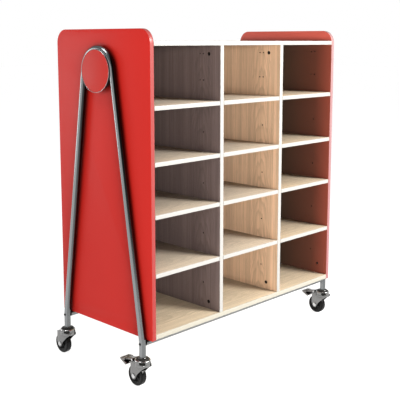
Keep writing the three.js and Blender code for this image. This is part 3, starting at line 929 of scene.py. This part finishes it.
def beside_swivel(joint):
    """A joint's place in a caster as (y, z), to a thousandth of a millimetre."""
    place = joint_place(f"{joint}_front_left")
    return round((place.y - joint_place("swivel_front_left").y) / MM, 3), round(place.z / MM, 3)


AXLE = beside_swivel("roll")
PIVOT = beside_swivel("brake")
TRAIL, WHEEL_RADIUS = AXLE
FORK_GAP = 15.5
PLATE = 2.5
AXLE_BORE = 4.3
PIN_BORE = 2.8
BORE_LENGTH = 50
HEAD_PLAY = 0.3  # between a plate and a pin's head
TREAD_GROOVE = 0.4
CROWN_TOP = 99.5  # above this the crown's rolled lip takes a lighter steel: painted highlight


def stem_shape():
    """King pin, bearing ring and the plug that goes up into the leg; plug and pin end are material 1."""
    profile = [
        (0, 80),
        *arc((7.5, 81.5), 1.5, -90, 0, 4),
        (9, 83.2),
        (8.6, 83.7),
        (6, 83.7),
        (6, 87.3),
        (21.4, 87.3),
        (22, 87.9),
        (22, 96),
        (21.2, 96.6),
        (21.2, 98),
        (22, 98.6),
        *arc((20.6, 104.4), 1.4, 0, 90, 4),
        (15.6, 105.8),
        (15.6, 107.6),
        *arc((14.4, 107.9), 1.2, 0, 90, 4),
        (9.4, 109.1),
        (9.4, 148.5),
        (8, 150),
        (0, 150),
    ]
    bm = turned(profile, 64)
    for face in bm.faces:
        centre = face.calc_center_median()
        if centre.z > 105.9 or centre.z < 84:
            face.material_index = 1
    return bm


def bore(radius, place):
    """A cutter for a hole along X at (y, z)."""
    half = BORE_LENGTH / 2
    cutter = turned([(0, -half), (radius, -half), (radius, half), (0, half)], 32)
    return shifted(moved(cutter, ONTO_X), (0, *place))


def plate_outline():
    """A fork plate's outline: wide under the crown, narrowing to a round end under the axle."""
    corners = [
        (45, 85.4),
        (28, 90.6),
        (20, 92),
        (-20, 92),
        (-27, 86),
        (-27, 79.5),
        (-12, 68.5),
        (11.5, 46),
        (18.6, 32.6),
    ]
    points = rounded(corners, [3, 5, 0, 0, 2, 3, 12, 14, 0], 5)
    points += arc((TRAIL + 1, WHEEL_RADIUS - 1.5), 10.9, 202, 335, 14)
    return points + [(45, 46)]


def fork_shape(braked):
    """Two plates and a web under a pressed crown with two slots, plus ears for the pedal if braked."""
    outer = FORK_GAP + PLATE
    crown_profile = [
        (6.4, 84),
        (25.5, 84),
        (25.5, 79.4),
        (25.9, 79),
        (27.6, 79),
        (28, 79.4),
        (28, 88.6),
        (27.7, 89.2),
        (28, 89.8),
        *arc((24.2, 98.2), 3.8, 0, 90, 8),
        (23.4, 101.8),
        (23.2, 101.2),
        (23.2, 99.5),
        (25.5, 96),
        (25.5, 87),
        (6.4, 87),
    ]
    plates = []
    for x in (FORK_GAP, -outer):
        plate = prism(plate_outline(), PLATE, "YZ")
        plates.append(shifted(bevelled(plate, 0.5, 2, 50), (x, 0, 0)))
    web = prism([(45, 85.4), (24, 91.8), (24, 88.8), (45, 82.6)], 2 * outer - 0.6, "YZ")
    web = shifted(bevelled(web, 0.5, 2, 50), (-outer + 0.3, 0, 0))
    body = combined(plates[0], web, "UNION")
    body = combined(body, plates[1], "UNION")
    room = shifted(turned([(0, 0), (25.5, 0), (25.5, 40), (0, 40)], 64), (0, 0, 87))
    body = combined(body, room, "DIFFERENCE")
    body = combined(body, turned(crown_profile, 64), "UNION")
    window = rounded([(-11, 89.5), (11, 89.5), (11, 98.5), (-11, 98.5)], [3.4] * 4, 6)
    for turn in (-135, -45):
        towards = Matrix.Rotation(math.radians(turn), 4, "Z")
        slot = moved(prism(window, 14, "YZ"), towards @ Matrix.Translation((20, 0, 0)))
        body = combined(body, slot, "DIFFERENCE")
    if braked:
        body = combined(body, ear_shape(), "UNION")
    body = combined(body, bore(AXLE_BORE, AXLE), "DIFFERENCE")
    if braked:
        body = combined(body, bore(PIN_BORE, PIVOT), "DIFFERENCE")
    # Faces above CROWN_TOP take the lighter lip steel, a painted highlight.
    for face in body.faces:
        if face.calc_center_median().z > CROWN_TOP:
            face.material_index = 1
    return body


def ear_shape():
    """The two ears inside the fork that hold the pedal's pin."""
    y, z = PIVOT
    inner = 13.0
    depth = FORK_GAP + PLATE - inner
    outline = [(y - 4.4, z - 9), (y + 4.4, z - 9), *arc((y, z), 4.4, 0, 180, 16)]
    ears = []
    for x in (inner, -inner - depth):
        ear = bevelled(prism(outline, depth, "YZ"), 0.5, 2, 50)
        ears.append(shifted(ear, (x, 0, 0)))
    return merged(*ears)


def pin_shape(radius, head, half_grip, sides):
    """A pin along X with a domed head of so many sides at each end."""
    reach = half_grip + 1
    whole = turned([(0, -reach), (radius, -reach), (radius, reach), (0, reach)], 32)
    for way in (-1, 1):
        profile = [(0, 0), (head, 0), (head, 1.3), (head * 0.95, 2.0), (head * 0.8, 2.7), (0, 3.1)]
        cap = turned(profile, sides)
        flip = Matrix.Rotation(math.pi if way < 0 else 0, 4, "X")
        cap = moved(cap, Matrix.Translation((0, 0, way * half_grip)) @ flip)
        whole = combined(whole, cap, "UNION")
    return moved(whole, ONTO_X)


def wheel_hub_shape():
    """A nylon wheel centre with a recessed web and six ribs on each face."""
    half = [
        (AXLE_BORE, 15),
        (7.6, 15),
        (8.2, 14.4),
        (8.8, 5.2),
        (9.6, 4.6),
        (20.6, 4.6),
        (21.4, 5.2),
        (22.2, 9.5),
        (22.8, 10),
        (25.6, 10),
        (26, 9.6),
    ]
    lower = [(r, -h) for r, h in half]
    body = turned([*lower, *reversed(half)], 64)
    ribs = []
    for i in range(6):
        for low, high in ((4, 8.2), (-8.2, -4)):
            rib = bevelled(block((8, -1.1, low), (22, 1.1, high)), 0.35, 2)
            ribs.append(moved(rib, Matrix.Rotation(i * math.pi / 3, 4, "Z")))
    body = combined(body, merged(*ribs), "UNION")
    return moved(body, ONTO_X)


def tyre_shape():
    """A tyre with rounded shoulders, a ring round each wall and two grooves round the tread."""
    half = [
        (26.3, 10.2),
        (27.2, 10.8),
        (30.5, 11),
        (31, 10.6),
        (31.6, 10.6),
        (32.1, 11),
        *arc((WHEEL_RADIUS - 4.9, 6.1), 4.9, 82, 0, 10),
        (WHEEL_RADIUS, 3.2),
        (WHEEL_RADIUS - TREAD_GROOVE, 2.8),
        (WHEEL_RADIUS - TREAD_GROOVE, 2.2),
        (WHEEL_RADIUS, 1.8),
    ]
    lower = [(r, -h) for r, h in half]
    return moved(turned([*lower, *reversed(half)], 96), ONTO_X)


def grip_ridges(start, end):
    """Four ridges across the pad, along its upper edge from start to end in (y, z)."""
    slope = math.atan2(end[1] - start[1], end[0] - start[0])
    ridges = []
    for i in range(4):
        along = 4 + 5 * i
        place = (0, start[0] + along * math.cos(slope), start[1] + along * math.sin(slope))
        ridge = bevelled(block((-16, -0.9, -1), (16, 0.9, 0.5)), 0.4, 2)
        ridges.append(moved(ridge, Matrix.Translation(place) @ Matrix.Rotation(slope, 4, "X")))
    return merged(*ridges)


def pedal_shape():
    """A pedal: barrel, thin neck, and a pad with grip ridges on top and a lip turned back under it."""
    y, z = PIVOT
    pad_start, pad_end = (73, 89.5), (96, 87)
    corners = [
        (y + 1, z - 4.2),
        (48, 88.5),
        (66, 84.6),
        (80, 80.5),
        (63, 74),
        (67.5, 66.5),
        (96, 82),
        pad_end,
        pad_start,
        (48, 94),
        (y + 1, z + 4.2),
    ]
    side = rounded(corners, [0, 10, 3, 1, 1.5, 2, 1.5, 1.5, 8, 12, 0], 5)
    body = shifted(prism(side, 39.8, "YZ"), (-19.9, 0, 0))
    for way in (-1, 1):
        plan = [(way * 12.2, 0), (way * 30, 0), (way * 30, 72), (way * 12.2, 72)]
        notch = shifted(prism(rounded(plan, [0, 0, 0, 3], 5), 30, "XY"), (0, 0, 79))
        body = combined(body, notch, "DIFFERENCE")
    bmesh.ops.remove_doubles(body, verts=body.verts, dist=0.01)
    bmesh.ops.dissolve_limit(body, angle_limit=math.radians(1), verts=body.verts, edges=body.edges)
    body = bevelled(body, 0.5, 2, 40)
    barrel = moved(turned([(0, -12.3), (4.4, -12.3), (4.4, 12.3), (0, 12.3)], 40), ONTO_X)
    body = combined(body, shifted(barrel, (0, y, z)), "UNION")
    body = combined(body, grip_ridges(pad_start, pad_end), "UNION")
    return combined(body, bore(PIN_BORE, PIVOT), "DIFFERENCE")


def make_caster(name, braked):
    swivel = joint_place(f"swivel_{name}")
    floor = Matrix.Translation((swivel.x, swivel.y, 0)) @ TO_METRES
    wheel = floor @ Matrix.Translation((0, *AXLE))
    body = f"caster_{name}"
    grip = FORK_GAP + PLATE + HEAD_PLAY
    stem = moved(stem_shape(), floor)
    add_piece(f"stem_{name}", stem, [BEARING, CASTER_METAL], "cart", [f"caster_stem_{name}"])
    fork = moved(fork_shape(braked), floor)
    add_piece(f"fork_{name}", fork, [CASTER_METAL, CASTER_LIP_PAINTED_HIGHLIGHT], body, [f"caster_fork_{name}"])
    axle = moved(pin_shape(4, 7.9, grip, 40), wheel)
    add_piece(f"axle_{name}", axle, [BOLT_METAL], body, [f"wheel_axle_{name}"])
    centre = moved(wheel_hub_shape(), wheel)
    add_piece(f"centre_{name}", centre, [WHEEL_GREY], f"wheel_{name}", [f"wheel_hub_{name}"])
    tyre = moved(tyre_shape(), wheel)
    add_piece(f"tread_{name}", tyre, [TYRE], f"wheel_{name}", [f"tyre_{name}"])
    if not braked:
        return
    pin = moved(pin_shape(2.5, 4, grip, 32), floor @ Matrix.Translation((0, *PIVOT)))
    add_piece(f"pedal_pin_{name}", pin, [BOLT_METAL], body, [f"brake_pin_{name}"])
    pedal = moved(pedal_shape(), floor)
    add_piece(f"pedal_{name}", pedal, [PEDAL_GREY], f"pedal_{name}", [f"brake_pedal_{name}"])


# ---- Floor and light -------------------------------------------------------------------------------

FLOOR_REACH = 30
FLOOR_DEPTH = 0.05
WARM_WHITE = (1.0, 0.985, 0.955)


def make_stage():
    """A pale floor that glows faintly, so that it meets the white surround without a line."""
    bm = block((-FLOOR_REACH, -FLOOR_REACH, -FLOOR_DEPTH), (FLOOR_REACH, FLOOR_REACH, 0))
    mesh = mesh_of(bm, "floor")
    f = Finish("floor_paint", Roughness=0.7, Specular_IOR_Level=0.1, Emission_Strength=0.90)
    f.shader.inputs["Emission Color"].default_value = (1, 1, 1, 1)
    cloud = f.noise(f.coordinates, 0.8, 2)
    f.set("Base Color", f.mix(f.spread(cloud, 0.0, 1.0), (0.25, 0.25, 0.25), (0.27, 0.27, 0.27)))
    mesh.materials.append(f.material)
    floor = bpy.data.objects.new("floor", mesh)
    bpy.context.scene.collection.objects.link(floor)


def area_light(name, place, target, size, power, colour=(1, 1, 1), mirrored=True):
    """A soft box that the camera doesn't see; one that isn't mirrored makes no highlights either."""
    data = bpy.data.lights.new(name, "AREA")
    data.shape = "RECTANGLE"
    data.size, data.size_y = size
    data.energy = power
    data.color = colour
    light = bpy.data.objects.new(name, data)
    light.location = place
    light.rotation_euler = (Vector(target) - Vector(place)).to_track_quat("-Z", "Y").to_euler()
    light.visible_camera = False
    light.visible_glossy = mirrored
    bpy.context.scene.collection.objects.link(light)


def make_world():
    """A white surround up to just over the horizon, with a dim ceiling and a dark side in front."""
    world = bpy.data.worlds.new("studio")
    world.use_nodes = True
    tree = world.node_tree
    background = tree.nodes["Background"]
    direction = tree.nodes.new("ShaderNodeTexCoord").outputs["Generated"]
    split = tree.nodes.new("ShaderNodeSeparateXYZ")
    tree.links.new(direction, split.inputs["Vector"])
    shades = []
    for axis, start, end, dim in (("Z", 0.15, 0.32, 0.30), ("Y", -0.35, -0.60, 0.12)):
        fade = tree.nodes.new("ShaderNodeMapRange")
        fade.interpolation_type = "SMOOTHSTEP"
        tree.links.new(split.outputs[axis], fade.inputs["Value"])
        for socket, value in (("From Min", start), ("From Max", end), ("To Min", 1), ("To Max", dim)):
            fade.inputs[socket].default_value = value
        shades.append(fade.outputs["Result"])
    shade = tree.nodes.new("ShaderNodeMath")
    shade.operation = "MULTIPLY"
    for socket, value in zip(shade.inputs, shades):
        tree.links.new(value, socket)
    tree.links.new(shade.outputs[0], background.inputs["Color"])
    background.inputs["Strength"].default_value = 1.0
    bpy.context.scene.world = world


def make_lights():
    """Two warm boxes in front, and a dim one each for the left end panel and the top."""
    area_light("key_box", (1.75, -3.7, 2.7), (0.0, 0.0, 0.65), (1.6, 1.2), 420, WARM_WHITE)
    area_light("fill_box", (-2.0, -4.2, 1.0), (0.1, 0.0, 0.6), (1.6, 1.2), 195, WARM_WHITE, mirrored=False)
    area_light("left_box", (-2.1, 2.9, 1.0), (-0.5, 0.0, 0.6), (0.8, 1.6), 18)
    area_light("top_box", (-1.6, 0.4, 3.2), (-0.4, 0.0, 1.0), (0.9, 0.9), 22)


make_world()
make_lights()
bpy.context.scene.view_settings.view_transform = "Standard"
make_flat_boards()
make_back()
make_dividers()
make_side_panels()
make_shelf_pins()
make_connectors()
make_a_frames()
make_rails()
make_hubs()
make_bolts()
for caster in ("front_left", "front_right", "rear_left", "rear_right"):
    make_caster(caster, caster.startswith("front"))
make_stage()
